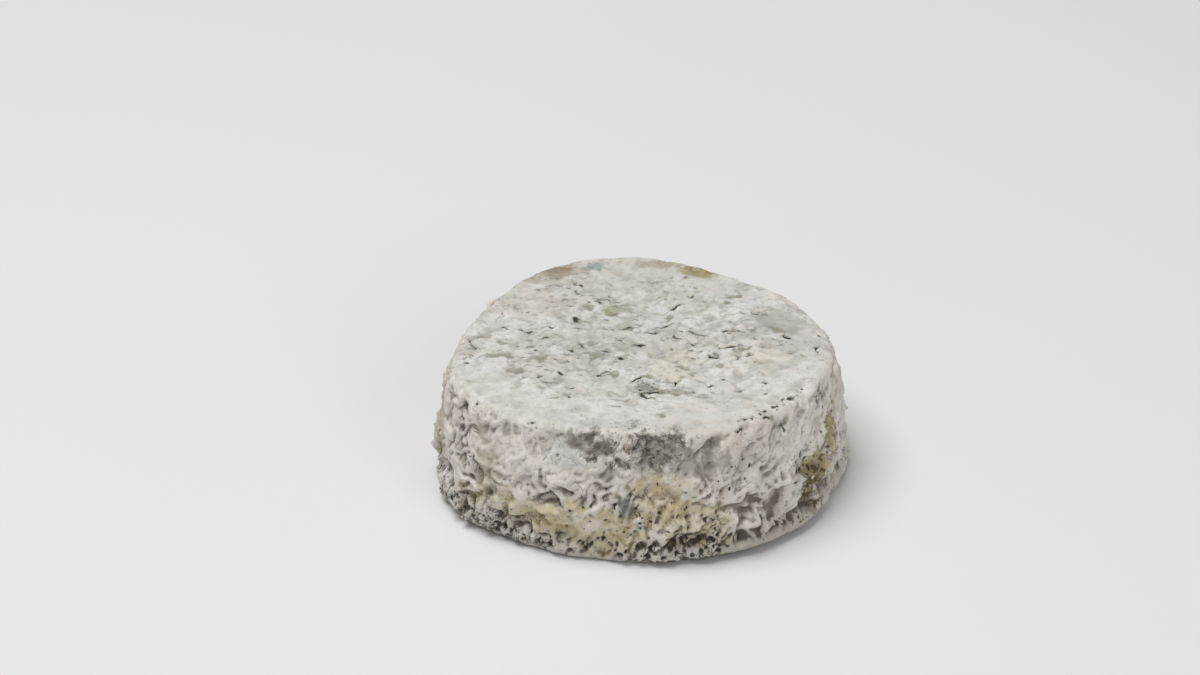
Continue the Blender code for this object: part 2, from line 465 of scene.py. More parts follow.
rough = (ROUGH_HIGH + ROUGH_LOW_EXTRA * low) * (1.0 - SMOOTH_CUT * smooth_skin)
rough *= 1.0 - CLEAN_CUT * clean_skin
rough *= off_lip * below_rim * uneven * (1.0 - BIG_FOLD_CUT * big_folds) * (1.0 - EVEN_EDGE_CUT * even_edge)
crested = CREST_SHARE * (1.0 - CLEAN_CUT * clean_skin) + BIG_CREST_SHARE * big_folds
crested *= off_lip * below_rim * uneven
print("roughness of the wall: %.2f to %.2f" % (rough[on_wall].min(), rough[on_wall].max()))

# %% Add them up on the side
PILLOW_HEIGHT = 0.0012
PILLOW_MIDDLE = 0.26
WRINKLE_HEIGHT = 0.0009
WRINKLE_MIDDLE = 0.28
CRINKLE_HEIGHT = 0.00024
CRINKLE_MIDDLE = 0.45
FUZZY_EXTRA = 3.4
RIDGE_HEIGHT = 0.0013
RIDGE_MIDDLE = 0.3
BIG_FOLD_EXTRA = 0.1
CLEAN_FOLD_CUT = 0.5
TUFT_PLACE = (-0.0458, -0.0138, 0.0045)
TUFT_RADIUS = 0.0013
TUFT_SIZE = 0.0018

folded = 1.0 + BIG_FOLD_EXTRA * big_folds - CLEAN_FOLD_CUT * clean_skin
wall_relief = lump + lip + fold_depth * (folds - 0.5) * calm * below_rim * folded
wall_relief += rough * PILLOW_HEIGHT * (pillow - PILLOW_MIDDLE)
wall_relief += rough * WRINKLE_HEIGHT * (wrinkle - WRINKLE_MIDDLE)
wall_relief += (rough + FUZZY_EXTRA * fuzzy) * CRINKLE_HEIGHT * (crinkle - CRINKLE_MIDDLE)
wall_relief += crested * RIDGE_HEIGHT * (crest - RIDGE_MIDDLE)
tuft_off = (place - np.array(TUFT_PLACE)) / TUFT_RADIUS
wall_relief += TUFT_SIZE * np.exp(-(tuft_off * tuft_off).sum(axis=1))
tell("relief of the wall", wall_relief[on_wall])

# %% [markdown]
# ## Pits
#
# Low on the front the rind is full of small round pits that hold black ash. Each
# row of the table below scatters some in one band of the side. A pit is a smooth
# dip, and the dips are remembered so that the material can blacken them.

# %% Scatter the pits
PIT_BANDS = (
    # how many, direction and half-width in degrees, height range in mm, radius in mm, depth in mm
    (56, -86, 22, (2.6, 10.0), 0.44, 0.45),
    (24, -88, 20, (10.0, 17.0), 0.46, 0.4),
    (40, -112, 18, (1.6, 6.0), 0.42, 0.45),
    (50, -142, 30, (1.4, 8.0), 0.38, 0.5),
    (40, -86, 26, (9.0, 20.0), 0.42, 0.4),
    (60, -50, 40, (10.0, 28.0), 0.34, 0.4),
    (14, -34, 7, (10.0, 20.0), 0.50, 0.6),
    (14, -135, 35, (10.0, 28.0), 0.36, 0.4),
    (220, 80, 125, (0.5, 20.0), 0.42, 0.6),
    (60, -80, 14, (0.8, 7.0), 0.46, 0.5),
)
PIT_FLATNESS = (0.6, 1.3)
PIT_SIZES = (0.55, 1.35)
PIT_DARKNESS = (0.45, 1.0)
draw = np.random.default_rng(11)
sides = np.flatnonzero(side > 0.0)
pit = np.zeros(len(place))
for many, middle, half_width, heights, radius, depth in PIT_BANDS:
    for _ in range(many):
        toward = math.radians(middle + half_width * draw.uniform(-1.0, 1.0))
        level = draw.uniform(*heights) / 1000.0
        off_round = np.abs(np.angle(np.exp(1j * (angle[sides] - toward)))) * FOOT_RADIUS
        apart = np.hypot(off_round, (z[sides] - level) * draw.uniform(*PIT_FLATNESS))
        size = radius / 1000.0 * draw.uniform(*PIT_SIZES)
        dip = np.exp(-((apart / size) ** 2))
        pit[sides] = np.maximum(pit[sides], dip * draw.uniform(*PIT_DARKNESS))
        wall_relief[sides] -= depth / 1000.0 * dip
print("pits:", sum(band[0] for band in PIT_BANDS))

# %% [markdown]
# ## Dents of the top, and the finished form
#
# The top has shallow dents and the same pillows as the side, but lower. A band
# inside the rim stays nearly smooth. Then every point moves outward by its
# relief, and the whole is centred and set down at height zero.

# %% Dents of the top
TOP_DENT_SPACING = 0.0065
TOP_DENT_DEPTH = 0.0005
TOP_DENT_GAIN = 2.0
TOP_DENT_START = 0.1
TOP_PILLOW_HEIGHT = 0.00060
TOP_PILLOW_MIDDLE = 0.3
TOP_WRINKLE_HEIGHT = 0.00020
TOP_WRINKLE_MIDDLE = 0.4
SMOOTH_BAND = (0.004, 0.016)
UNDER_SHARE = 0.6

hollowed = TOP_DENT_GAIN * grain(place, TOP_DENT_SPACING) - TOP_DENT_START
top_relief = -TOP_DENT_DEPTH * np.maximum(0.0, hollowed)
busy = eased(-past_rim, *SMOOTH_BAND)
top_relief += busy * TOP_PILLOW_HEIGHT * (pillow - TOP_PILLOW_MIDDLE)
top_relief += busy * TOP_WRINKLE_HEIGHT * (wrinkle - TOP_WRINKLE_MIDDLE)
tell("relief of the top", top_relief[row == 0])

# %% Move every point out by its relief
height = wall_relief * side + top_relief * (1.0 - side)
height[on_foot] *= side[on_foot]
height[under] = -np.abs(top_relief[under]) * UNDER_SHARE
final = place + outward * height[:, None]

low_corner = final.min(axis=0)
high_corner = final.max(axis=0)
middle_place = (low_corner + high_corner) / 2.0
final -= np.array((middle_place[0], middle_place[1], low_corner[2]))
print("size in mm:", np.round((high_corner - low_corner) * 1000, 1))

# %% [markdown]
# ## From the picture to the top
#
# The marks on the top that catch the eye are placed one by one: short black
# wedges of ash, and olive shadows. They were read in four enlargements of
# the photograph. A point of a picture is a line of sight, from the lens through
# that point, and a mark lies where its line meets the sloped top. The lens, its
# place and its tilt are the camera's own, so they are named here and used again
# for the camera.

# %% Lines of sight
PICTURE_WIDTH = 1200
PICTURE_HEIGHT = 675
SENSOR_WIDTH = 36.0
LENS_LENGTH = 161.7
LENS_PLACE = (-0.0095, -1.0583, 0.6767)
LOOK_DOWN = math.radians(31.3)
MARKED_TOP = HEIGHT + 0.0001
focal = LENS_LENGTH / SENSOR_WIDTH * PICTURE_WIDTH


def seen_on_top(across, below):
    """The place on the top, x and y in metres, that a picture point in pixels shows."""
    to_right = (across - PICTURE_WIDTH / 2.0) / focal
    lift = (PICTURE_HEIGHT / 2.0 - below) / focal
    ahead = math.cos(LOOK_DOWN) + lift * math.sin(LOOK_DOWN)
    climb = lift * math.cos(LOOK_DOWN) - math.sin(LOOK_DOWN)
    drop = MARKED_TOP - TOP_SLOPE * LENS_PLACE[1] - LENS_PLACE[2]
    steps = drop / (climb + TOP_SLOPE * ahead)
    return np.array((LENS_PLACE[0] + to_right * steps, LENS_PLACE[1] + ahead * steps))


lens_distance = math.hypot(LENS_PLACE[1], LENS_PLACE[2] - MARKED_TOP)
pixels_per_metre = focal / lens_distance
grazing = LOOK_DOWN - math.atan(TOP_SLOPE)
print("the top is seen at %.1f degrees, %.2f pixels a mm" % (math.degrees(grazing), pixels_per_metre / 1000))

# %% The marks, read one by one
ENLARGED = 7.61
ENLARGED_CORNERS = {
    # left and top edge of each enlargement, in pixels of the whole picture
    "back left": (440, 255),
    "back right": (640, 255),
    "front left": (440, 340),
    "front right": (640, 340),
}
# Each mark: across, down, half length and half width in enlarged pixels, turn in degrees, bend
BLACK_MARKS = {
    "back left": (
        (1040, 475, 28, 11, -35, 0), (1040, 270, 26, 9, 15, 0), (1045, 215, 45, 5, -30, 0.15),
        (1220, 347, 16, 10, 10, 0), (975, 378, 30, 6, -8, -0.1), (825, 543, 20, 7, -15, 0),
        (630, 565, 62, 7, -18, 0.15), (480, 535, 16, 10, -20, 0), (250, 672, 34, 8, -55, 0),
        (800, 622, 36, 6, 0, 0), (1075, 670, 30, 11, -50, 0), (1005, 712, 32, 10, -33, 0),
        (1430, 525, 52, 8, -5, -0.3), (1500, 664, 38, 4, -3, 0), (475, 437, 26, 6, 58, 0),
        (508, 380, 18, 7, 50, 0), (1255, 712, 38, 6, -5, -0.1),
    ),
    "back right": (
        (88, 566, 40, 11, 8, 0), (168, 526, 62, 8, 13, 0.1), (288, 370, 18, 6, 0, 0),
        (240, 395, 50, 5, 25, 0), (390, 300, 14, 6, 70, 0), (650, 572, 36, 8, 6, 0),
        (700, 690, 62, 7, 8, -0.2), (1350, 608, 14, 6, 0, 0), (1350, 706, 20, 9, 60, 0),
        (1110, 620, 26, 9, -45, 0),
    ),
    "front left": (
        (1370, 125, 27, 9, -5, 0), (205, 172, 11, 6, 0, 0), (910, 240, 20, 7, -25, 0),
        (750, 268, 22, 7, 15, 0), (1215, 250, 40, 8, -3, -0.15), (1502, 285, 50, 10, 30, -0.2),
        (965, 410, 16, 9, 5, 0), (990, 358, 20, 6, 15, 0), (695, 603, 16, 7, 10, 0),
        (270, 460, 13, 8, 0, 0), (1505, 360, 26, 9, -30, 0), (1535, 408, 42, 9, -25, 0),
    ),
    "front right": (
        (555, 110, 24, 12, -10, 0), (820, 110, 22, 7, 15, 0), (755, 140, 18, 7, 30, 0),
        (890, 165, 18, 10, 0, 0), (1230, 115, 12, 8, -60, 0), (1350, 78, 22, 7, -80, 0),
        (1378, 150, 15, 5, 0, 0), (270, 310, 40, 5, 40, 0), (545, 340, 18, 6, -5, 0),
        (650, 285, 24, 7, -30, 0), (945, 320, 20, 7, 0, 0), (85, 392, 68, 9, 5, 0.2),
        (55, 425, 50, 9, -18, 0.2), (760, 640, 27, 8, 38, 0), (965, 563, 32, 8, 15, 0),
        (1095, 548, 26, 8, 50, 0), (1368, 342, 60, 7, 42, 0), (1330, 470, 50, 4, -88, 0),
        (1240, 530, 18, 13, 20, 0),
    ),
}
OLIVE_MARKS = {
    "back left": (
        (310, 608, 80, 15, 8, -0.25), (460, 652, 60, 9, -22, 0.2), (1150, 662, 46, 11, 0, 0.4),
        (1400, 540, 60, 14, 0, -0.3), (1230, 540, 40, 12, 0, -0.1), (1110, 390, 55, 20, 0, 0),
    ),
    "back right": (
        (832, 570, 42, 11, -5, -0.3), (665, 354, 30, 10, -5, 0), (200, 470, 36, 26, 60, 0),
        (1040, 560, 70, 24, -20, 0), (700, 312, 80, 12, 6, 0),
    ),
    "front left": (
        (1190, 112, 42, 24, 20, 0), (440, 108, 130, 16, 4, -0.3), (730, 132, 95, 22, 12, 0),
        (1320, 250, 48, 20, 0, -0.2), (862, 428, 46, 8, 5, 0), (1350, 440, 85, 7, -1, 0),
        (1330, 497, 60, 8, -2, 0), (560, 215, 80, 22, -8, 0), (760, 350, 36, 6, 0, 0),
        (980, 668, 52, 11, 3, -0.2),
    ),
    "front right": (
        (595, 182, 38, 19, 0, -0.3), (325, 195, 46, 14, -20, 0), (290, 387, 92, 20, 0, -0.1),
        (50, 265, 60, 16, 0, -0.2), (165, 570, 32, 14, 0, 0), (920, 250, 40, 7, -25, 0),
        (790, 60, 70, 16, 12, 0), (40, 345, 60, 14, -8, 0),
    ),
}



# %% Where the marks lie
def on_the_top(marks):
    """Each mark of a table as middle, half length, half width, turn and bend on the top."""
    placed = []
    for corner, rows in marks.items():
        left, upper = ENLARGED_CORNERS[corner]
        for across, below, half_length, half_width, turned, curve in rows:
            reach_right = half_length * math.cos(math.radians(turned))
            reach_up = half_length * math.sin(math.radians(turned))
            tips = []
            for way in (-1.0, 1.0):
                tip_across = left + (across + way * reach_right) / ENLARGED
                tip_below = upper + (below - way * reach_up) / ENLARGED
                tips.append(seen_on_top(tip_across, tip_below))
            middle = (tips[0] + tips[1]) / 2.0
            length = math.dist(*tips) / 2.0
            area = half_length * half_width / (ENLARGED * pixels_per_metre) ** 2 / math.sin(grazing)
            turn_on_top = math.atan2(tips[1][1] - tips[0][1], tips[1][0] - tips[0][0])
            placed.append((middle[0], middle[1], length, area / length, turn_on_top, curve))
    return placed


black_places = on_the_top(BLACK_MARKS)
olive_places = on_the_top(OLIVE_MARKS)
print("marks:", len(black_places), "black,", len(olive_places), "olive")

# %% [markdown]
# ## Marks pressed into the top
#
# Each mark is a bent, tapered bar. The number kept at a point is 1 in the middle
# of a bar, a third at its edge and 0 outside it. It presses the mark into the top
# here, and the material draws its ragged edge. Slow noise bends the bars a little
# first, so none of them is a neat shape. The olive marks are painted shadows, and
# each black mark also gets a wider, weaker copy in the olive field, which the
# material paints as a shadow round it.

# %% Press the marks in
MARK_DEPTH = 0.00035
MARK_LEVEL = (0.0270, 0.0290)
WEDGE = 0.45
MARK_TORN_SPACING = 0.0017
MARK_TORN = 0.0011
MARK_TORN_SHIFTS = (3.3, 71.9)
MARK_FADE = 0.5
BLACK_WIDER = 1.2
OLIVE_WIDER = 1.3
MARK_SHADOW_WIDER = 2.2
MARK_SHADOW_SHARE = 0.8
OLIVE_DEPTH_SHARE = 0.7

torn = np.stack([grain(final, MARK_TORN_SPACING, shift) for shift in MARK_TORN_SHIFTS], axis=1)
torn_place = final[:, :2] + MARK_TORN * torn


def marked(places, wider):
    """1 in the middle of each mark, a third at its edge, 0 outside."""
    field = np.zeros(len(final))
    for x, y, length, width, turned, curve in places:
        along_x = math.cos(turned)
        along_y = math.sin(turned)
        off_x = torn_place[:, 0] - x
        off_y = torn_place[:, 1] - y
        out = (off_x * along_x + off_y * along_y) / (length * wider)
        across = (off_y * along_x - off_x * along_y - curve * length * out * out) / (width * wider)
        taper = (1.0 - out * out) * (1.0 + WEDGE * np.clip(out, -1.0, 1.0))
        field = np.maximum(field, (taper - np.abs(across) + MARK_FADE) / (1.0 + MARK_FADE))
    return np.clip(field, 0.0, 1.0) * eased(final[:, 2], *MARK_LEVEL)


black_mark = marked(black_places, BLACK_WIDER)
# The second part is a painted shadow round each black mark.
olive_mark_and_shadow = np.maximum(marked(olive_places, OLIVE_WIDER), MARK_SHADOW_SHARE * marked(black_places, MARK_SHADOW_WIDER))
pressed = MARK_DEPTH * (black_mark + OLIVE_DEPTH_SHARE * olive_mark_and_shadow) * (1.0 - side)
final[:, 2] -= pressed
height -= pressed
mesh.vertices.foreach_set("co", final.ravel())
mesh.update()
print("points inside a black mark:", int((black_mark > 0.3).sum()))

# %% [markdown]
# ## Where the hollows are
#
# Ash stays in hollows and bloom grows on what stands out, and the colours also
# paint light on the ridges and shade in the hollows, so they need to know the
# relief. A point is in a hollow when it lies lower than the average of the points
# around it. Averaging each point with its neighbours a few times gives that
# average at a small or a large scale.

# %% Measure the hollows
WIDE_ROUNDS = 110
SMALL_ROUNDS = 10
edge_ends = np.empty(len(mesh.edges) * 2, dtype=int)
mesh.edges.foreach_get("vertices", edge_ends)
edge_ends = edge_ends.reshape(-1, 2)
point_count = len(mesh.vertices)
neighbours = np.bincount(edge_ends.ravel(), minlength=point_count).astype(float)
print("neighbours of a point, on average: %.2f" % neighbours.mean())


def spread(values, rounds):
    """The average around each point, wider with more rounds."""
    for _ in range(rounds):
        around_sum = np.bincount(edge_ends[:, 0], values[edge_ends[:, 1]], point_count)
        around_sum += np.bincount(edge_ends[:, 1], values[edge_ends[:, 0]], point_count)
        values = 0.5 * values + 0.5 * around_sum / neighbours
    return values


def sunk(rounds):
    """How deep each point lies, as its rank: 0 on the highest ridge, 1 in the deepest hollow."""
    depth = spread(height, rounds) - height
    ranked = np.zeros(point_count)
    for part in (side > 0.0, side == 0.0):
        order = np.argsort(depth[part])
        ranks = np.empty(len(order))
        ranks[order] = np.linspace(0.0, 1.0, len(order))
        ranked[part] = ranks
    return ranked


# %% Keep the masks at the points
RIM_LINE_REACH = 0.0011
RIM_LINE_QUARTER = math.radians(-42)
RIM_LINE_WIDTH = math.radians(22)
CLEAN_RIM_QUARTER = math.radians(-80)
CLEAN_RIM_WIDTH = math.radians(55)


def store(name, values):
    """Keeps one number for each point, which a material can read."""
    layer = mesh.attributes.new(name, "FLOAT", "POINT")
    layer.data.foreach_set("value", np.clip(values, 0.0, 1.0).astype(np.float32))
    least, most = np.percentile(values, (5, 95))
    print("%-14s middle %.2f, 5%% to 95%%: %.2f to %.2f" % (name, np.median(values), least, most))


near_rim = np.exp(-((past_rim / RIM_LINE_REACH) ** 2))
store("wide_hollow", sunk(WIDE_ROUNDS))
store("small_hollow", sunk(SMALL_ROUNDS))
store("wall", side)
store("pit", pit)
store("rim_line", near_rim * nearness(angle, RIM_LINE_QUARTER, RIM_LINE_WIDTH))
store("black_mark", black_mark)
store("olive_mark_and_shadow", olive_mark_and_shadow)
store("clean", (1.0 - busy) * nearness(angle, CLEAN_RIM_QUARTER, CLEAN_RIM_WIDTH))

# %% Put the piece in the solid's place
cheese = bpy.data.objects.new("goat_cheese_rind", mesh)
bpy.context.scene.collection.objects.link(cheese)
mesh.shade_smooth()
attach(cheese, "root")
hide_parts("cheese")
print("faces of the rind:", len(mesh.polygons))

# %% [markdown]
# ## Node helpers
#
# A rind needs many layers of marks. Writing each node by hand is slow to read,
# so small helpers add a node with its inputs filled in, and start a node group
# with named sockets. A group is built once and placed many times.


# %% Helpers for nodes
def add(tree, kind, inputs=None, **settings):
    """Adds a node, sets its options, and fills its inputs with values or links."""
    made = tree.nodes.new(kind)
    for name, value in settings.items():
        setattr(made, name, value)
    for name, value in (inputs or {}).items():
        if isinstance(value, bpy.types.NodeSocket):
            tree.links.new(value, made.inputs[name])
        else:
            made.inputs[name].default_value = value
    return made


def math_node(tree, operation, first, second=0.0):
    """One arithmetic step; gives its output."""
    return add(tree, "ShaderNodeMath", {0: first, 1: second}, operation=operation).outputs[0]


def vector_node(tree, operation, first, second=(0.0, 0.0, 0.0), scale=1.0):
    """One step with whole vectors; gives its vector."""
    inputs = {0: first, 1: second, 3: scale}
    return add(tree, "ShaderNodeVectorMath", inputs, operation=operation).outputs[0]


def noise_node(tree, at, scale, detail, **more):
    """A noise texture; gives its outputs, a value and a colour."""
    return add(tree, "ShaderNodeTexNoise", {"Vector": at, "Scale": scale, "Detail": detail, **more}).outputs


def ramp(tree, value, start, end):
    """A soft step from 0 at start to 1 at end."""
    inputs = {"Value": value, "From Min": start, "From Max": end}
    return add(tree, "ShaderNodeMapRange", inputs, interpolation_type="SMOOTHSTEP").outputs["Result"]


def start_group(name, **inputs):
    """A new node group: its tree, its inputs by name, and a function that sets its mask."""
    tree = bpy.data.node_groups.new(name, "ShaderNodeTree")
    for label, value in {"Vector": (0.0, 0.0, 0.0), **inputs}.items():
        kind = "NodeSocketFloat" if isinstance(value, float) else "NodeSocketVector"
        socket = tree.interface.new_socket(name=label, in_out="INPUT", socket_type=kind)
        socket.default_value = value
    tree.interface.new_socket(name="Mask", in_out="OUTPUT", socket_type="NodeSocketFloat")
    enter = tree.nodes.new("NodeGroupInput")
    leave = tree.nodes.new("NodeGroupOutput")
    return tree, enter.outputs, lambda socket: tree.links.new(socket, leave.inputs["Mask"])


# %% [markdown]
# ## Five kinds of mark
#
# *Patches* are soft clouds for bloom that is thicker in places. *Specks* are
# grains of ash, one to each cell of a Voronoi pattern, of many sizes. *Creases*
# are thin dark lines where noise crosses its middle value, cut into dashes by a
# second noise. *Strokes* are short bent dashes, one to a cell, each with its own
# turn and length. *Stain* is one ragged spot at a chosen place.

# %% Patches
patches, given, give = start_group("Patches", Scale=100.0, Threshold=0.5, Softness=0.1)
cloud = noise_node(patches, given["Vector"], given["Scale"], 4.0, Roughness=0.6)
edge_low = math_node(patches, "SUBTRACT", given["Threshold"], given["Softness"])
edge_high = math_node(patches, "ADD", given["Threshold"], given["Softness"])
give(ramp(patches, cloud["Fac"], edge_low, edge_high))
print("Patches:", len(patches.nodes), "nodes")

# %% Specks
SPECK_WOBBLE_SCALE = 900.0
SPECK_WOBBLE = 0.0012
SPECK_CORE = 0.45
specks, given, give = start_group("Specks", Scale=600.0, Size=0.3, Share=0.3)
wobble = noise_node(specks, given["Vector"], SPECK_WOBBLE_SCALE, 1.0)
moved_by = vector_node(specks, "SCALE", wobble["Color"], scale=SPECK_WOBBLE)
moved_at = vector_node(specks, "ADD", given["Vector"], moved_by)
cells = add(specks, "ShaderNodeTexVoronoi", {"Vector": moved_at, "Scale": given["Scale"]}).outputs
draws = add(specks, "ShaderNodeSeparateColor", {0: cells["Color"]}).outputs
speck_edge = math_node(specks, "MULTIPLY", draws["Red"], given["Size"])
speck_core = math_node(specks, "MULTIPLY", speck_edge, SPECK_CORE)
dot = ramp(specks, cells["Distance"], speck_edge, speck_core)
chosen = math_node(specks, "LESS_THAN", draws["Green"], given["Share"])
give(math_node(specks, "MULTIPLY", dot, chosen))
print("Specks:", len(specks.nodes), "nodes")

# %% Creases
DASH_SCALE = 0.7
DASH_SOFTNESS = 0.06
creases, given, give = start_group("Creases", Scale=250.0, Width=0.02, Threshold=0.55)
lines = noise_node(creases, given["Vector"], given["Scale"], 2.0, Distortion=0.6)
off_middle = math_node(creases, "ABSOLUTE", math_node(creases, "SUBTRACT", lines["Fac"], 0.5))
line = ramp(creases, off_middle, given["Width"], 0.0)
dash_scale = math_node(creases, "MULTIPLY", given["Scale"], DASH_SCALE)
dashes = noise_node(creases, given["Vector"], dash_scale, 1.0)
dash_end = math_node(creases, "ADD", given["Threshold"], DASH_SOFTNESS)
dash = ramp(creases, dashes["Fac"], given["Threshold"], dash_end)
give(math_node(creases, "MULTIPLY", line, dash))
print("Creases:", len(creases.nodes), "nodes")

# %% Strokes: a torn place, and its cell
STROKE_TORN_SCALE = 900.0
STROKE_TORN = 0.0011
strokes, given, give = start_group(
    "Strokes", Scale=250.0, Length=0.0014, Width=0.0002, Bend=1.8, Turn=1.6, Share=0.5
)
ragged = noise_node(strokes, given["Vector"], STROKE_TORN_SCALE, 2.0)["Color"]
ragged = vector_node(strokes, "SUBTRACT", ragged, (0.5, 0.5, 0.5))
ragged = vector_node(strokes, "SCALE", ragged, scale=STROKE_TORN)
ragged_at = vector_node(strokes, "ADD", given["Vector"], ragged)
cell_inputs = {"Vector": ragged_at, "Scale": given["Scale"]}
cells = add(strokes, "ShaderNodeTexVoronoi", cell_inputs, voronoi_dimensions="2D").outputs
draws = add(strokes, "ShaderNodeSeparateColor", {0: cells["Color"]}).outputs
local = vector_node(strokes, "SUBTRACT", ragged_at, cells["Position"])
turn_by = math_node(strokes, "MULTIPLY", math_node(strokes, "SUBTRACT", draws["Red"], 0.5), given["Turn"])
turned = add(strokes, "ShaderNodeVectorRotate", {"Vector": local, "Angle": turn_by}, rotation_type="Z_AXIS")
parts = add(strokes, "ShaderNodeSeparateXYZ", {0: turned.outputs[0]}).outputs
print("Strokes, so far:", len(strokes.nodes), "nodes")

# %% Strokes: the bent dash and its strength
STROKE_CORE = 0.35
THINNEST = 0.00001
LEAST_STRENGTH = 0.45
long_by = math_node(strokes, "MULTIPLY", given["Length"], math_node(strokes, "ADD", draws["Green"], 0.4))
out_along = math_node(strokes, "DIVIDE", parts["X"], long_by)
squared = math_node(strokes, "MULTIPLY", out_along, out_along)
bend_by = math_node(strokes, "MULTIPLY", math_node(strokes, "SUBTRACT", draws["Blue"], 0.5), given["Bend"])
arc = math_node(strokes, "MULTIPLY", math_node(strokes, "MULTIPLY", bend_by, long_by), squared)
off_line = math_node(strokes, "ABSOLUTE", math_node(strokes, "SUBTRACT", parts["Y"], arc))
taper = math_node(strokes, "MULTIPLY", given["Width"], math_node(strokes, "SUBTRACT", 1.0, squared))
taper = math_node(strokes, "MAXIMUM", taper, THINNEST)
stroke = ramp(strokes, off_line, taper, math_node(strokes, "MULTIPLY", taper, STROKE_CORE))
green_part = math_node(strokes, "MULTIPLY", draws["Green"], 7.3)
blue_part = math_node(strokes, "MULTIPLY", draws["Blue"], 5.1)
new_draw = math_node(strokes, "FRACT", math_node(strokes, "ADD", green_part, blue_part))
picked = math_node(strokes, "LESS_THAN", new_draw, given["Share"])
strength = math_node(strokes, "MULTIPLY", draws["Red"], 1.0 - LEAST_STRENGTH)
strength = math_node(strokes, "ADD", strength, LEAST_STRENGTH)
give(math_node(strokes, "MULTIPLY", math_node(strokes, "MULTIPLY", stroke, picked), strength))
print("Strokes:", len(strokes.nodes), "nodes")

# %% Stain
STAIN_EDGE = 1.15
STAIN_CORE = 0.45
stain, given, give = start_group(
    "Stain", Centre=(0.0, 0.0, 0.0), Size=(0.01, 0.01, 0.01), Ragged=0.8, Torn=0.5
)
scaled = vector_node(stain, "SUBTRACT", given["Vector"], given["Centre"])
scaled = vector_node(stain, "DIVIDE", scaled, given["Size"])
far = add(stain, "ShaderNodeVectorMath", {0: scaled}, operation="LENGTH").outputs["Value"]
torn_by = math_node(stain, "MULTIPLY", math_node(stain, "SUBTRACT", given["Torn"], 0.5), given["Ragged"])
give(ramp(stain, math_node(stain, "ADD", far, torn_by), STAIN_EDGE, STAIN_CORE))
print("Stain:", len(stain.nodes), "nodes")

# %% [markdown]
# ## The rind's colours
#
# The colours go on in layers, as on the cheese: white bloom first, warm and cool,
# and ash in the hollows, with painted light on the ridges and painted shade in
# the hollows. Stains of cream and ochre show where the rind is thin, and painted
# shade darkens the foot. Black curls, dashes, slits, pits and grains come last.
# Places that are clean on the real cheese hold the dark layers back.
# Each colour is a linear value that was judged against the photograph under the
# studio light.

# %% Start the rind material
rind = bpy.data.materials.new("Bloomy ash rind")
rind.use_nodes = True
tree = rind.node_tree
shader = tree.nodes["Principled BSDF"]
where = add(tree, "ShaderNodeTexCoord").outputs["Object"]


def kept(name):
    """A number that was stored at the points."""
    return add(tree, "ShaderNodeAttribute", attribute_name=name).outputs["Fac"]


wide_at = kept("wide_hollow")
small_at = kept("small_hollow")
wall_at = kept("wall")
pit_at = kept("pit")
rim_line_at = kept("rim_line")
clean_at = kept("clean")
black_mark_at = kept("black_mark")
olive_and_shadow_at = kept("olive_mark_and_shadow")

spot_parts = add(tree, "ShaderNodeSeparateXYZ", {0: where}).outputs
on_top = add(tree, "ShaderNodeCombineXYZ", {"X": spot_parts["X"], "Y": spot_parts["Y"]}).outputs[0]
away = math_node(tree, "MULTIPLY", spot_parts["Y"], -1.0)
round_by = math_node(tree, "MULTIPLY", math_node(tree, "ARCTAN2", spot_parts["X"], away), FOOT_RADIUS)
on_side = add(tree, "ShaderNodeCombineXYZ", {"X": round_by, "Y": spot_parts["Z"]}).outputs[0]
torn_at = noise_node(tree, where, 300.0, 4.0, Roughness=0.65)["Fac"]
print("nodes at the start:", len(tree.nodes))


# %% Helpers for masks
def times(first, second):
    """One mask cut by another, or weakened by a number."""
    return math_node(tree, "MULTIPLY", first, second)


def inverse(mask):
    """1 where the mask is 0."""
    return math_node(tree, "SUBTRACT", 1.0, mask)


def larger(first, second):
    """Two masks as one."""
    return math_node(tree, "MAXIMUM", first, second)


def between(mask, least, most):
    """The mask with its 0 and 1 moved to these two values."""
    return math_node(tree, "ADD", times(mask, most - least), least)


def rising(value, start, end):
    """A soft step in the rind."""
    return ramp(tree, value, start, end)


def use(group, at=where, **values):
    """Places a group in the rind with these input values or links."""
    return add(tree, "ShaderNodeGroup", {"Vector": at, **values}, node_tree=group).outputs[0]


def clouds(scale, threshold, softness):
    """Patches in the rind."""
    return use(patches, Scale=scale, Threshold=threshold, Softness=softness)


def flecks(scale, size, share):
    """Specks in the rind."""
    return use(specks, Scale=scale, Size=size, Share=share)


def stain_at(centre, size, ragged):
    """One ragged spot, with its centre and size in mm."""
    centre = tuple(value / 1000.0 for value in centre)
    size = tuple(value / 1000.0 for value in size)
    return use(stain, Centre=centre, Size=size, Ragged=ragged, Torn=torn_at)


def stains_at(places, ragged):
    """Several ragged spots as one mask."""
    mask = 0.0
    for centre, size in places:
        mask = larger(mask, stain_at(centre, size, ragged))
    return mask


# %% Helpers for layers of colour
def mix(kind, below, above, strength, masks):
    """Mixes two colours where all the masks are."""
    factor = masks[0]
    for mask in masks[1:]:
        factor = times(factor, mask)
    inputs = {0: times(factor, strength)}
    for index, colour in ((6, below), (7, above)):
        inputs[index] = colour if isinstance(colour, bpy.types.NodeSocket) else (*colour, 1.0)
    return add(tree, "ShaderNodeMix", inputs, data_type="RGBA", blend_type=kind).outputs[2]


def over(below, tint, strength, *masks):
    """Lays a tint over a colour, like paint."""
    return mix("MIX", below, tint, strength, masks)


def glazed(below, tint, strength, *masks):
    """Darkens a colour by a tint, like a thin glaze."""
    return mix("MULTIPLY", below, tint, strength, masks)


# %% Bloom: near-white, warm and cool
TOP_BLOOM = (0.740, 0.726, 0.684)
COOL_BLOOM = (0.690, 0.699, 0.678)
SIDE_BLOOM = (0.80, 0.75, 0.668)
PINKISH = (0.66, 0.575, 0.515)
GREENISH = (0.50, 0.505, 0.435)
CREAM = (0.68, 0.62, 0.49)
BEIGE = (0.60, 0.535, 0.47)

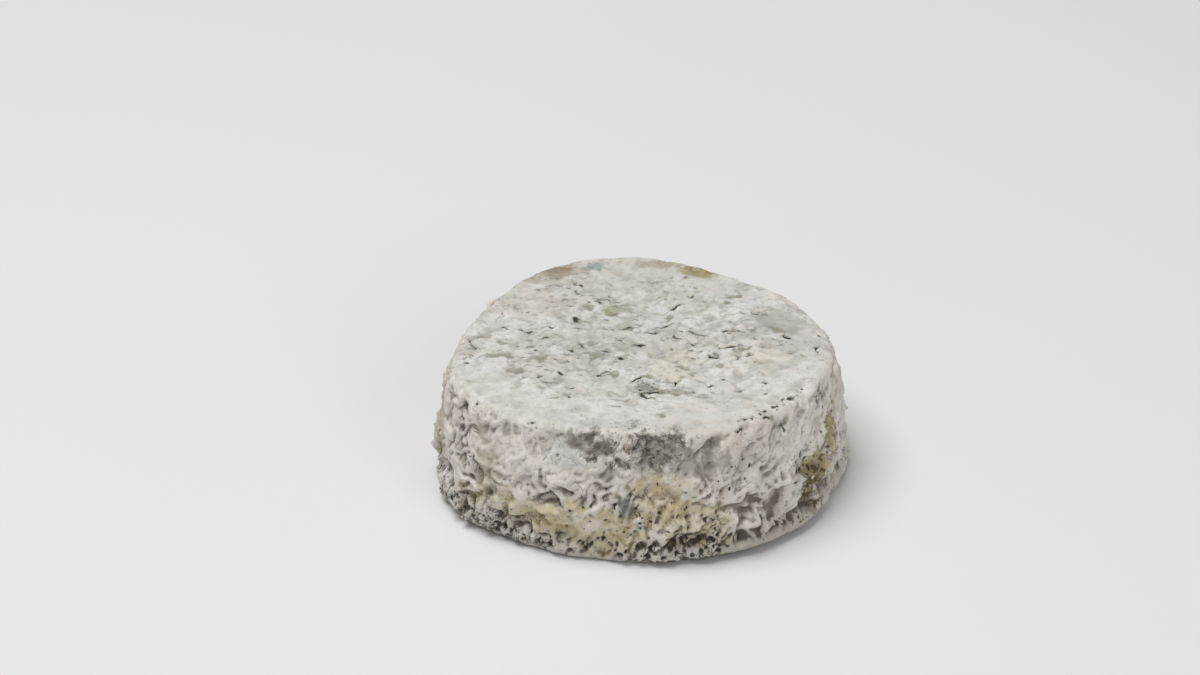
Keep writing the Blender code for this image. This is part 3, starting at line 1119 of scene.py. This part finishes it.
colour = over(TOP_BLOOM, COOL_BLOOM, 1.0, clouds(120.0, 0.5, 0.08))
colour = over(colour, SIDE_BLOOM, 0.85, wall_at)
colour = over(colour, CREAM, 0.4, clouds(60.0, 0.57, 0.09))
colour = over(colour, BEIGE, 0.45, clouds(80.0, 0.6, 0.08))
colour = over(colour, PINKISH, 0.45, clouds(190.0, 0.56, 0.06), wall_at)
colour = over(colour, GREENISH, 0.35, clouds(150.0, 0.585, 0.05))
print("nodes after the bloom:", len(tree.nodes))

# %% Clean places, where marks stay faint
fresh = stains_at(CLEAN_PLACES, 2.0)
wall_busy = times(inverse(times(fresh, 0.55)), wall_at)
wall_busy = times(wall_busy, between(clouds(85.0, 0.48, 0.10), 0.35, 1.0))
print("clean places:", len(CLEAN_PLACES))

# %% [markdown]
# ## Ash in the hollows, with painted light and shade
#
# The ash was dusted on before the mould grew, and the white bloom covered it
# where air could reach. So the ridges are light, and each hollow is darker the
# deeper it lies. Both are also painted light and painted shade, which make the
# relief read more strongly than the lamps alone show it. Wide hollows take a grey
# glaze, small ones a darker glaze, and only the deepest creases are nearly black.

# %% Light ridges, grey hollows, dark creases: bloom and ash, with painted light and shade
ASH = (0.30, 0.27, 0.22)
DEEP_ASH_AND_SHADE = (0.10, 0.088, 0.068)
PALE_ASH = (0.46, 0.435, 0.38)
RIDGE_BLOOM_AND_LIGHT = (0.84, 0.81, 0.75)
GREY_ASH_AND_SHADE = (0.60, 0.585, 0.56)
DARK_ASH_AND_SHADE = (0.46, 0.435, 0.395)

wall_share = between(wall_at, 0.25, 1.0)
cloudy = between(clouds(260.0, 0.44, 0.14), 0.35, 0.95)
# Painted light on the ridges and painted shade in the hollows, over the bloom and ash: ridges lighten,
# hollows darken by their depth.
colour = over(colour, RIDGE_BLOOM_AND_LIGHT, 0.5, rising(wide_at, 0.45, 0.05), wall_at)
colour = glazed(colour, GREY_ASH_AND_SHADE, 0.8, rising(wide_at, 0.50, 0.95), wall_share)
in_small = times(times(rising(small_at, 0.58, 0.92), wall_share), cloudy)
colour = glazed(colour, DARK_ASH_AND_SHADE, 1.0, in_small, inverse(times(fresh, 0.4)))
soft_folds = stain_at((29, -36, 10), (16, 16, 13), 2.0)
ash_and_shade_allowed = inverse(times(larger(fresh, soft_folds), 0.8))
deepest = times(rising(small_at, 0.80, 0.98), rising(wide_at, 0.60, 0.90))
colour = over(colour, DEEP_ASH_AND_SHADE, 0.85, deepest, ash_and_shade_allowed, wall_share)
print("nodes after the ash:", len(tree.nodes))

# %% [markdown]
# ## Stains where the rind is thin
#
# Cream paste and ochre damp show through where the rind is thin or was rubbed.
# Each has a place of its own on the real cheese, so a table lists them one by
# one: first the side, then the top, then guesses for the back, and last a few
# single slits and holes. All use the one Stain group, and fade a little on ridges.
# Two parts paint light and shade: a pale patch high on the right of the front is
# painted light, and the dark band just under the front rim is partly grey-brown
# ash and partly painted shadow.

# %% The table of stains, with a patch of painted light and a band of painted shadow
STAINS = (
    # centre in mm, size in mm, colour, strength, ragged
    ((-18, -42, 9), (10, 8, 6), (0.62, 0.525, 0.33), 0.95, 2.6),
    ((-7, -43, 8), (11, 7, 7), (0.65, 0.555, 0.35), 1.00, 2.4),
    ((4, -42, 16), (9, 7, 7.5), (0.62, 0.515, 0.325), 0.90, 3.0),
    ((12, -43, 10), (9, 6, 7), (0.60, 0.51, 0.33), 0.80, 3.2),
    ((-11, -43.5, 9.5), (3.2, 3, 2.6), (0.80, 0.75, 0.69), 0.95, 2.6),
    # Painted light: this pale patch lightens the right of the front, where the side turns away from the main
    # light.
    ((36, -27, 22), (13, 13, 9), (0.86, 0.83, 0.78), 0.75, 3.0),
    ((-27, -36, 22), (10, 10, 7), (0.84, 0.80, 0.755), 0.65, 3.0),
    ((-27, -38.5, 10), (10, 8, 5.5), (0.58, 0.49, 0.30), 0.80, 3.2),
    ((-35, -32, 17), (4.5, 4.5, 7), (0.40, 0.36, 0.25), 0.75, 3.0),
    ((-39, -29, 8), (6, 6, 6), (0.58, 0.51, 0.35), 0.80, 3.4),
    ((-46, -9, 18), (4, 6, 12), (0.42, 0.38, 0.24), 0.85, 2.8),
    ((-17, -39, 27), (6, 6, 5), (0.66, 0.68, 0.65), 0.70, 1.0),
    # These three dark spots make the band under the front rim: partly grey-brown ash, partly painted shadow
    # under the rim's edge.
    ((-11, -40, 30), (6, 5, 3.2), (0.19, 0.175, 0.145), 1.00, 3.6),
    ((4, -41, 28.5), (10, 6, 4.4), (0.19, 0.18, 0.15), 1.00, 3.6),
    ((15, -39, 26), (6, 6, 4.5), (0.26, 0.245, 0.205), 0.75, 3.8),
    ((-3.5, -44, 15), (2.6, 2, 3.0), (0.12, 0.15, 0.135), 0.95, 2.6),
    ((0, 32, 31), (40, 15, 5), (0.57, 0.55, 0.49), 0.60, 3.4),
    ((-21, 34, 30), (9, 6, 4), (0.38, 0.315, 0.24), 1.00, 2.8),
    ((-20, 36, 30.4), (4.2, 2.0, 2.4), (0.28, 0.235, 0.175), 1.00, 1.6),
    ((-11, 37, 30), (3.4, 2.4, 3), (0.33, 0.385, 0.36), 1.00, 2.2),
    ((-6.5, 16, 31), (4.4, 2.8, 3), (0.26, 0.25, 0.14), 1.00, 2.8),
    ((14, 34.5, 30), (6, 3.0, 3), (0.33, 0.285, 0.10), 1.00, 3.6),
    ((11.5, 36, 30.5), (1.8, 1.4, 2), (0.22, 0.17, 0.07), 1.00, 2.0),
    ((3, 38, 30), (7, 2.4, 3), (0.42, 0.36, 0.27), 0.90, 3.4),
    ((8, -10, 32), (7, 9, 4), (0.70, 0.63, 0.48), 0.60, 3.4),
    ((28, -6, 32), (7, 7, 4), (0.70, 0.63, 0.49), 0.55, 3.6),
    ((-24, 20, 31), (12, 10, 4), (0.60, 0.545, 0.49), 0.60, 3.2),
    ((31, 10, 31), (8, 7, 4), (0.40, 0.39, 0.345), 0.85, 3.0),
    ((36, 2, 31), (8, 12, 4), (0.50, 0.48, 0.43), 0.60, 3.6),
    ((1, -20, 32), (5.5, 4.5, 3), (0.34, 0.325, 0.265), 0.90, 3.4),
    ((-8, 0, 32), (18, 10, 4), (0.48, 0.465, 0.40), 0.60, 4.5),
    ((18, 42, 12), (9, 7, 7), (0.50, 0.42, 0.26), 0.85, 3.4),
    ((-34, 28, 10), (8, 8, 6), (0.46, 0.39, 0.25), 0.80, 3.4),
    ((-5, 43, 22), (10, 7, 4), (0.19, 0.175, 0.15), 0.95, 3.6),
    ((40, 18, 9), (7, 8, 5), (0.50, 0.43, 0.28), 0.75, 3.4),
    # single slits, holes and lines
    ((-22.9, -39.1, 21), (0.6, 1.5, 2.2), (0.10, 0.09, 0.08), 1.0, 0.8),
    ((-40.9, -23.8, 24), (1.0, 0.7, 1.6), (0.08, 0.07, 0.06), 1.0, 0.8),
    ((-44, -18.3, 9.5), (1.6, 1.3, 1.5), (0.05, 0.045, 0.04), 1.0, 1.0),
    ((-3.4, -41.5, 29), (1.4, 1.5, 2.0), (0.30, 0.22, 0.13), 1.0, 1.0),
    ((33.5, -25.6, 32.7), (0.9, 0.9, 1.2), (0.04, 0.04, 0.035), 1.0, 1.0),
    ((-18.8, 36.7, 30), (3.2, 0.8, 2.0), (0.30, 0.23, 0.17), 1.0, 1.4),
    ((10.6, 31.6, 30.5), (0.6, 0.7, 1.0), (0.12, 0.05, 0.06), 1.0, 0.6),
)
print("stains listed:", len(STAINS))

# %% Lay the stains
stain_clouds = between(clouds(330.0, 0.47, 0.12), 0.7, 1.0)
depth_inputs = {"Value": wide_at, "From Min": 0.0, "From Max": 0.55, "To Min": 0.75}
stain_depth = add(tree, "ShaderNodeMapRange", depth_inputs).outputs["Result"]
for centre, size, tint, dark, ragged_by in STAINS:
    colour = over(colour, tint, dark, stain_at(centre, size, ragged_by), stain_depth, stain_clouds)
print("nodes after the stains:", len(tree.nodes))

# %% [markdown]
# ## Painted shade on the foot, and sooty curls
#
# Painted shade greys the foot all round, darker towards the bottom. At the front
# it is dark and olive in the hollows, on the right it greys the lip and its
# hollows, and at the left it is nearly black between white crumbs, where it is
# partly black ash. Fine black curls fill the creases wherever ash lay thick.

# %% Painted shade over the foot
FOOT_SHADE = (0.55, 0.54, 0.52)
FRONT_HOLLOW_SHADE = (0.30, 0.28, 0.21)
RIGHT_FOOT_SHADE = (0.80, 0.79, 0.77)
RIGHT_HOLLOW_SHADE = (0.50, 0.48, 0.43)
LEFT_FOOT_SHADE = (0.70, 0.69, 0.67)
SOOT_AND_SHADE = (0.075, 0.07, 0.062)
CRUMB = (0.74, 0.72, 0.67)

front_low = stain_at((10, -44, 3), (19, 14, 8), 2.6)
right_low = stain_at((28, -36, 3), (20, 16, 7), 2.6)
left_low = stain_at((-37, -29, 2), (18, 22, 7), 2.6)
# Painted shade: darker towards the bottom all round, more at the front, the right and the left, most in
# their hollows. Between the crumbs at the left the black is partly ash and partly painted shade.
colour = glazed(colour, FOOT_SHADE, 0.5, rising(spot_parts["Z"], 0.010, 0.0))
colour = glazed(colour, FRONT_HOLLOW_SHADE, 0.95, front_low, rising(small_at, 0.30, 0.66))
colour = glazed(colour, RIGHT_FOOT_SHADE, 0.9, right_low)
colour = glazed(colour, RIGHT_HOLLOW_SHADE, 0.6, right_low, rising(small_at, 0.45, 0.80))
colour = glazed(colour, LEFT_FOOT_SHADE, 0.4, left_low)
colour = over(colour, SOOT_AND_SHADE, 0.85, left_low, rising(small_at, 0.46, 0.72))
colour = over(colour, CRUMB, 0.5, left_low, rising(small_at, 0.40, 0.15))
print("nodes after the foot:", len(tree.nodes))

# %% Sooty curls in the creases
NET_BLACK = (0.045, 0.042, 0.035)
CURL_BLACK = (0.07, 0.063, 0.05)
SOOTY_PLACES = (
    # centre in mm, size in mm
    ((9, -43, 3.5), (15, 14, 5)),
    ((-37, -29, 2), (19, 23, 8)),
    ((-2, -41, 29), (16, 7, 6)),
    ((37.5, -26, 14), (6, 6, 8)),
    ((1, -20, 32), (5, 4.5, 3)),
    ((-4, 43, 22), (16, 9, 6)),
)
CURLS = (
    # scale, width, threshold
    (300.0, 0.030, 0.49),
    (560.0, 0.036, 0.53),
)
net = use(creases, Scale=520.0, Width=0.065, Threshold=0.41)
colour = over(colour, NET_BLACK, 0.85, net, stains_at(SOOTY_PLACES, 2.6))
for scale, width, threshold in CURLS:
    curls = use(creases, Scale=scale, Width=width, Threshold=threshold)
    colour = over(colour, CURL_BLACK, 0.8, curls, wall_busy, rising(small_at, 0.25, 0.7))
print("sooty places:", len(SOOTY_PLACES))

# %% Fine mottling of the bloom
colour = over(colour, PALE_ASH, 0.25, clouds(420.0, 0.55, 0.09))
colour = over(colour, ASH, 0.22, clouds(800.0, 0.60, 0.06))
print("nodes after the mottling:", len(tree.nodes))

# %% The ochre stain on the right
GOLD = (0.50, 0.41, 0.215)
UMBER = (0.115, 0.082, 0.034)
OCHRE_SPECK = (0.03, 0.025, 0.015)
OCHRE_PLACES = (
    # centre in mm, size in mm
    ((40.0, -23.5, 12.5), (5.5, 6.0, 7.5)),
    ((44.0, -18.0, 19.0), (3.4, 5.2, 8.5)),
)
ochre = rising(stains_at(OCHRE_PLACES, 2.8), 0.30, 0.70)
umber = rising(stain_at((38.5, -26.2, 8.5), (6.5, 6.0, 5.6), 3.8), 0.22, 0.60)
ochre_clouds = clouds(420.0, 0.52, 0.07)
colour = over(colour, GOLD, 0.80, ochre)
colour = over(colour, UMBER, 1.0, umber, between(ochre_clouds, 0.40, 0.95))
colour = over(colour, UMBER, 0.35, ochre, ochre_clouds)
colour = over(colour, OCHRE_SPECK, 0.9, ochre, flecks(480.0, 0.70, 0.65))
print("nodes after the ochre:", len(tree.nodes))

# %% [markdown]
# ## Dashes on the top
#
# The top is crossed by short level dashes, mostly in its middle, where ash stayed
# in small creases. Three sizes of Strokes make them, each with a soft grey
# painted shadow round it. A band inside the front rim is nearly clean. The marks
# that were placed one by one go on over them, with frayed edges.

# %% Smudges, dashes and the dashes' painted shadows on the top
SMUDGE_AND_SHADOW = (0.40, 0.39, 0.335)
DARKER_TOP = (0.66, 0.65, 0.60)
WIPED = (0.93, 0.93, 0.92)
DASH_BLACK = (0.05, 0.046, 0.038)
DASH_SHADOW_LENGTH = 1.3
DASH_SHADOW_WIDTH = 4.0
DASHES = (
    # cells in a metre, half length, half width, share of cells, strength
    (170.0, 0.0019, 0.00062, 0.24, 0.8),
    (260.0, 0.0012, 0.00046, 0.36, 0.85),
    (420.0, 0.0008, 0.00032, 0.46, 0.85),
)
central = stain_at((-4, 5, 32), (44, 28, 30), 1.6)
top_marks = times(inverse(wall_at), inverse(times(clean_at, 0.75)))
top_marks = times(top_marks, between(central, 0.5, 1.0))
colour = glazed(colour, DARKER_TOP, 0.4, clouds(190.0, 0.57, 0.045), top_marks)
colour = glazed(colour, WIPED, 0.7, clean_at)
colour = over(colour, SMUDGE_AND_SHADOW, 0.65, clouds(230.0, 0.58, 0.08), top_marks)
dashed = times(top_marks, between(clouds(80.0, 0.49, 0.09), 0.2, 1.0))
for scale, length, width, chosen_share, dark in DASHES:
    # Each dash first gets a longer, wider copy in the smudge colour: a painted shadow round it.
    dash_shadow_size = {"Length": length * DASH_SHADOW_LENGTH, "Width": width * DASH_SHADOW_WIDTH}
    dash_shadow = use(strokes, on_top, Scale=scale, Share=chosen_share, **dash_shadow_size)
    colour = over(colour, SMUDGE_AND_SHADOW, 0.5, dash_shadow, dashed)
    dash = use(strokes, on_top, Scale=scale, Length=length, Width=width, Share=chosen_share)
    colour = over(colour, DASH_BLACK, dark, dash, dashed)
print("nodes after the dashes:", len(tree.nodes))

# %% Marks at chosen places of the top
OLIVE = (0.28, 0.27, 0.195)
MARK_BLACK = (0.040, 0.037, 0.030)

frayed = math_node(tree, "SUBTRACT", noise_node(tree, where, 1300.0, 2.0)["Fac"], 0.5)
olive_and_shadow_mask = rising(math_node(tree, "ADD", olive_and_shadow_at, times(frayed, 0.8)), 0.30, 0.75)
black_at = rising(math_node(tree, "ADD", black_mark_at, times(frayed, 0.7)), 0.36, 0.62)
# Painted shadow: the olive marks, and the soft shadow round each black mark.
colour = over(colour, OLIVE, 1.0, olive_and_shadow_mask, between(clouds(600.0, 0.46, 0.14), 0.38, 0.83))
colour = over(colour, MARK_BLACK, 1.0, black_at, between(clouds(900.0, 0.44, 0.12), 0.73, 1.0))
print("nodes after the marks:", len(tree.nodes))

# %% [markdown]
# ## Slits, pits and grains
#
# What is left of the ash is black and small. Slits are Strokes laid over the
# unrolled side, in any direction. The pits take the numbers kept at the points.
# Grains lie thickest low on the foot and along the cracked rim at the right, and
# a fine dust of them covers everything.

# %% Black slits, pits and grains of ash
BLACK = (0.035, 0.033, 0.028)
SLIT_BLACK = (0.08, 0.073, 0.06)
DUST = (0.16, 0.15, 0.13)

slit = use(strokes, on_side, Scale=240.0, Length=0.0010, Width=0.00026, Turn=6.0, Share=0.45)
small_slit = use(strokes, on_side, Scale=430.0, Length=0.0007, Width=0.00022, Turn=6.0, Share=0.6)
right_rim = stain_at((34, -28, 27.5), (16, 14, 6), 2.4)
colour = over(colour, BLACK, 0.95, slit, wall_busy)
colour = over(colour, SLIT_BLACK, 0.85, small_slit, wall_busy)
colour = over(colour, BLACK, 0.92, rising(pit_at, 0.30, 0.6))
colour = over(colour, BLACK, 0.9, flecks(700.0, 0.42, 0.25), rising(spot_parts["Z"], 0.008, 0.001))
colour = over(colour, BLACK, 0.95, flecks(800.0, 0.85, 0.8), rising(rim_line_at, 0.25, 0.7))
colour = over(colour, BLACK, 0.9, flecks(520.0, 0.45, 0.30), right_rim)
colour = over(colour, BLACK, 0.8, flecks(560.0, 0.28, 0.05))
colour = over(colour, DUST, 0.45, flecks(1300.0, 0.45, 0.12))
tree.links.new(colour, shader.inputs["Base Color"])
print("nodes of the colour:", len(tree.nodes))

# %% [markdown]
# ## Surface of the bloom
#
# Dry bloom scatters light in every direction, so it is rough, with a little
# light passing through the paste under it. Fine bumps break up what shine is
# left: grains, soft swells and thin crumpled creases. They are weaker on the
# top, and the marks there are sunk a little.

# %% Roughness, softness and bumps
shader.inputs["Roughness"].default_value = 0.82
shader.inputs["Specular IOR Level"].default_value = 0.3
shader.inputs["Subsurface Weight"].default_value = 0.12
shader.inputs["Subsurface Radius"].default_value = (0.0030, 0.0022, 0.0014)
shader.inputs["Subsurface Scale"].default_value = 0.6

fuzz = noise_node(tree, where, 1500.0, 3.0, Roughness=0.65)["Fac"]
soft = noise_node(tree, where, 420.0, 3.0, Roughness=0.6)["Fac"]
crumple = noise_node(tree, where, 520.0, 3.0, Distortion=0.7)["Fac"]
crumple = math_node(tree, "ABSOLUTE", math_node(tree, "SUBTRACT", crumple, 0.5))
bump_height = math_node(tree, "ADD", times(fuzz, 0.35), soft)
bump_height = math_node(tree, "ADD", bump_height, times(crumple, 1.2))
bump_height = times(bump_height, between(wall_at, 0.35, 1.0))
bump_height = math_node(tree, "SUBTRACT", bump_height, times(larger(black_at, olive_and_shadow_mask), 0.45))
bump = add(tree, "ShaderNodeBump", {"Height": bump_height, "Strength": 0.5, "Distance": 0.0006})
tree.links.new(bump.outputs["Normal"], shader.inputs["Normal"])
mesh.materials.append(rind)
print("nodes of the rind:", len(tree.nodes))

# %% [markdown]
# ## Floor, light and camera
#
# A pale floor and large soft lights show the relief without hard shadows. The
# main light is high, nearly overhead and a little to the left, so the top is
# bright and the near side is in half shade. A weaker one at the front right and
# a pale sky fill the shade. A long lens 31 degrees above the table keeps the
# drum's outline true.

# %% Floor
FLOOR_HALF = 3.0
FLOOR_DARK = (0.79, 0.79, 0.79, 1.0)
FLOOR_LIGHT = (0.81, 0.81, 0.81, 1.0)

corners = [(x * FLOOR_HALF, y * FLOOR_HALF, 0.0) for x, y in ((-1, -1), (1, -1), (1, 1), (-1, 1))]
floor_mesh = bpy.data.meshes.new("floor")
floor_mesh.from_pydata(corners, [], [(0, 1, 2, 3)])
floor = bpy.data.objects.new("floor", floor_mesh)
bpy.context.scene.collection.objects.link(floor)
paper = bpy.data.materials.new("Pale paper")
paper.use_nodes = True
paper_tree = paper.node_tree
paper_shader = paper_tree.nodes["Principled BSDF"]
paper_shader.inputs["Roughness"].default_value = 0.9
paper_shader.inputs["Specular IOR Level"].default_value = 0.1
tooth = add(paper_tree, "ShaderNodeTexNoise", {"Scale": 40.0, "Detail": 2.0}).outputs["Fac"]
tones = {0: tooth, 6: FLOOR_DARK, 7: FLOOR_LIGHT}
tone = add(paper_tree, "ShaderNodeMix", tones, data_type="RGBA")
paper_tree.links.new(tone.outputs[2], paper_shader.inputs["Base Color"])
floor_mesh.materials.append(paper)
print("floor: %.0f m square" % (2.0 * FLOOR_HALF))

# %% Lights
LIGHT_SIZE = 0.8
KEY_PLACE = (-0.35, -0.10, 1.30)
KEY_ENERGY = 13.0
FILL_PLACE = (0.7, -1.0, 0.75)
FILL_ENERGY = 3.6
SKY_STRENGTH = 0.27


def soft_light(name, location, energy):
    """A square light that faces the cheese."""
    data = bpy.data.lights.new(name, "AREA")
    data.shape = "SQUARE"
    data.size = LIGHT_SIZE
    data.energy = energy
    lamp = bpy.data.objects.new(name, data)
    lamp.location = location
    tilt = math.atan2(math.hypot(location[0], location[1]), location[2])
    turn = math.atan2(-location[1], -location[0]) - math.pi / 2.0
    lamp.rotation_euler = (tilt, 0.0, turn)
    bpy.context.scene.collection.objects.link(lamp)
    print("light %s: %.1f W, tilted %.0f degrees" % (name, energy, math.degrees(tilt)))


soft_light("key", KEY_PLACE, KEY_ENERGY)
soft_light("fill", FILL_PLACE, FILL_ENERGY)

world = bpy.data.worlds.new("studio")
bpy.context.scene.world = world
world.use_nodes = True
world.node_tree.nodes["Background"].inputs["Color"].default_value = (1.0, 1.0, 1.0, 1.0)
world.node_tree.nodes["Background"].inputs["Strength"].default_value = SKY_STRENGTH
bpy.context.scene.view_settings.view_transform = "Standard"

# %% Camera
camera_data = bpy.data.cameras.new("camera")
camera_data.sensor_width = SENSOR_WIDTH
camera_data.lens = LENS_LENGTH
camera = bpy.data.objects.new("camera", camera_data)
camera.location = LENS_PLACE
camera.rotation_euler = (math.pi / 2.0 - LOOK_DOWN, 0.0, 0.0)
bpy.context.scene.collection.objects.link(camera)
bpy.context.scene.camera = camera
print("camera: %.2f m from the cheese, %.0f mm lens" % (lens_distance, LENS_LENGTH))
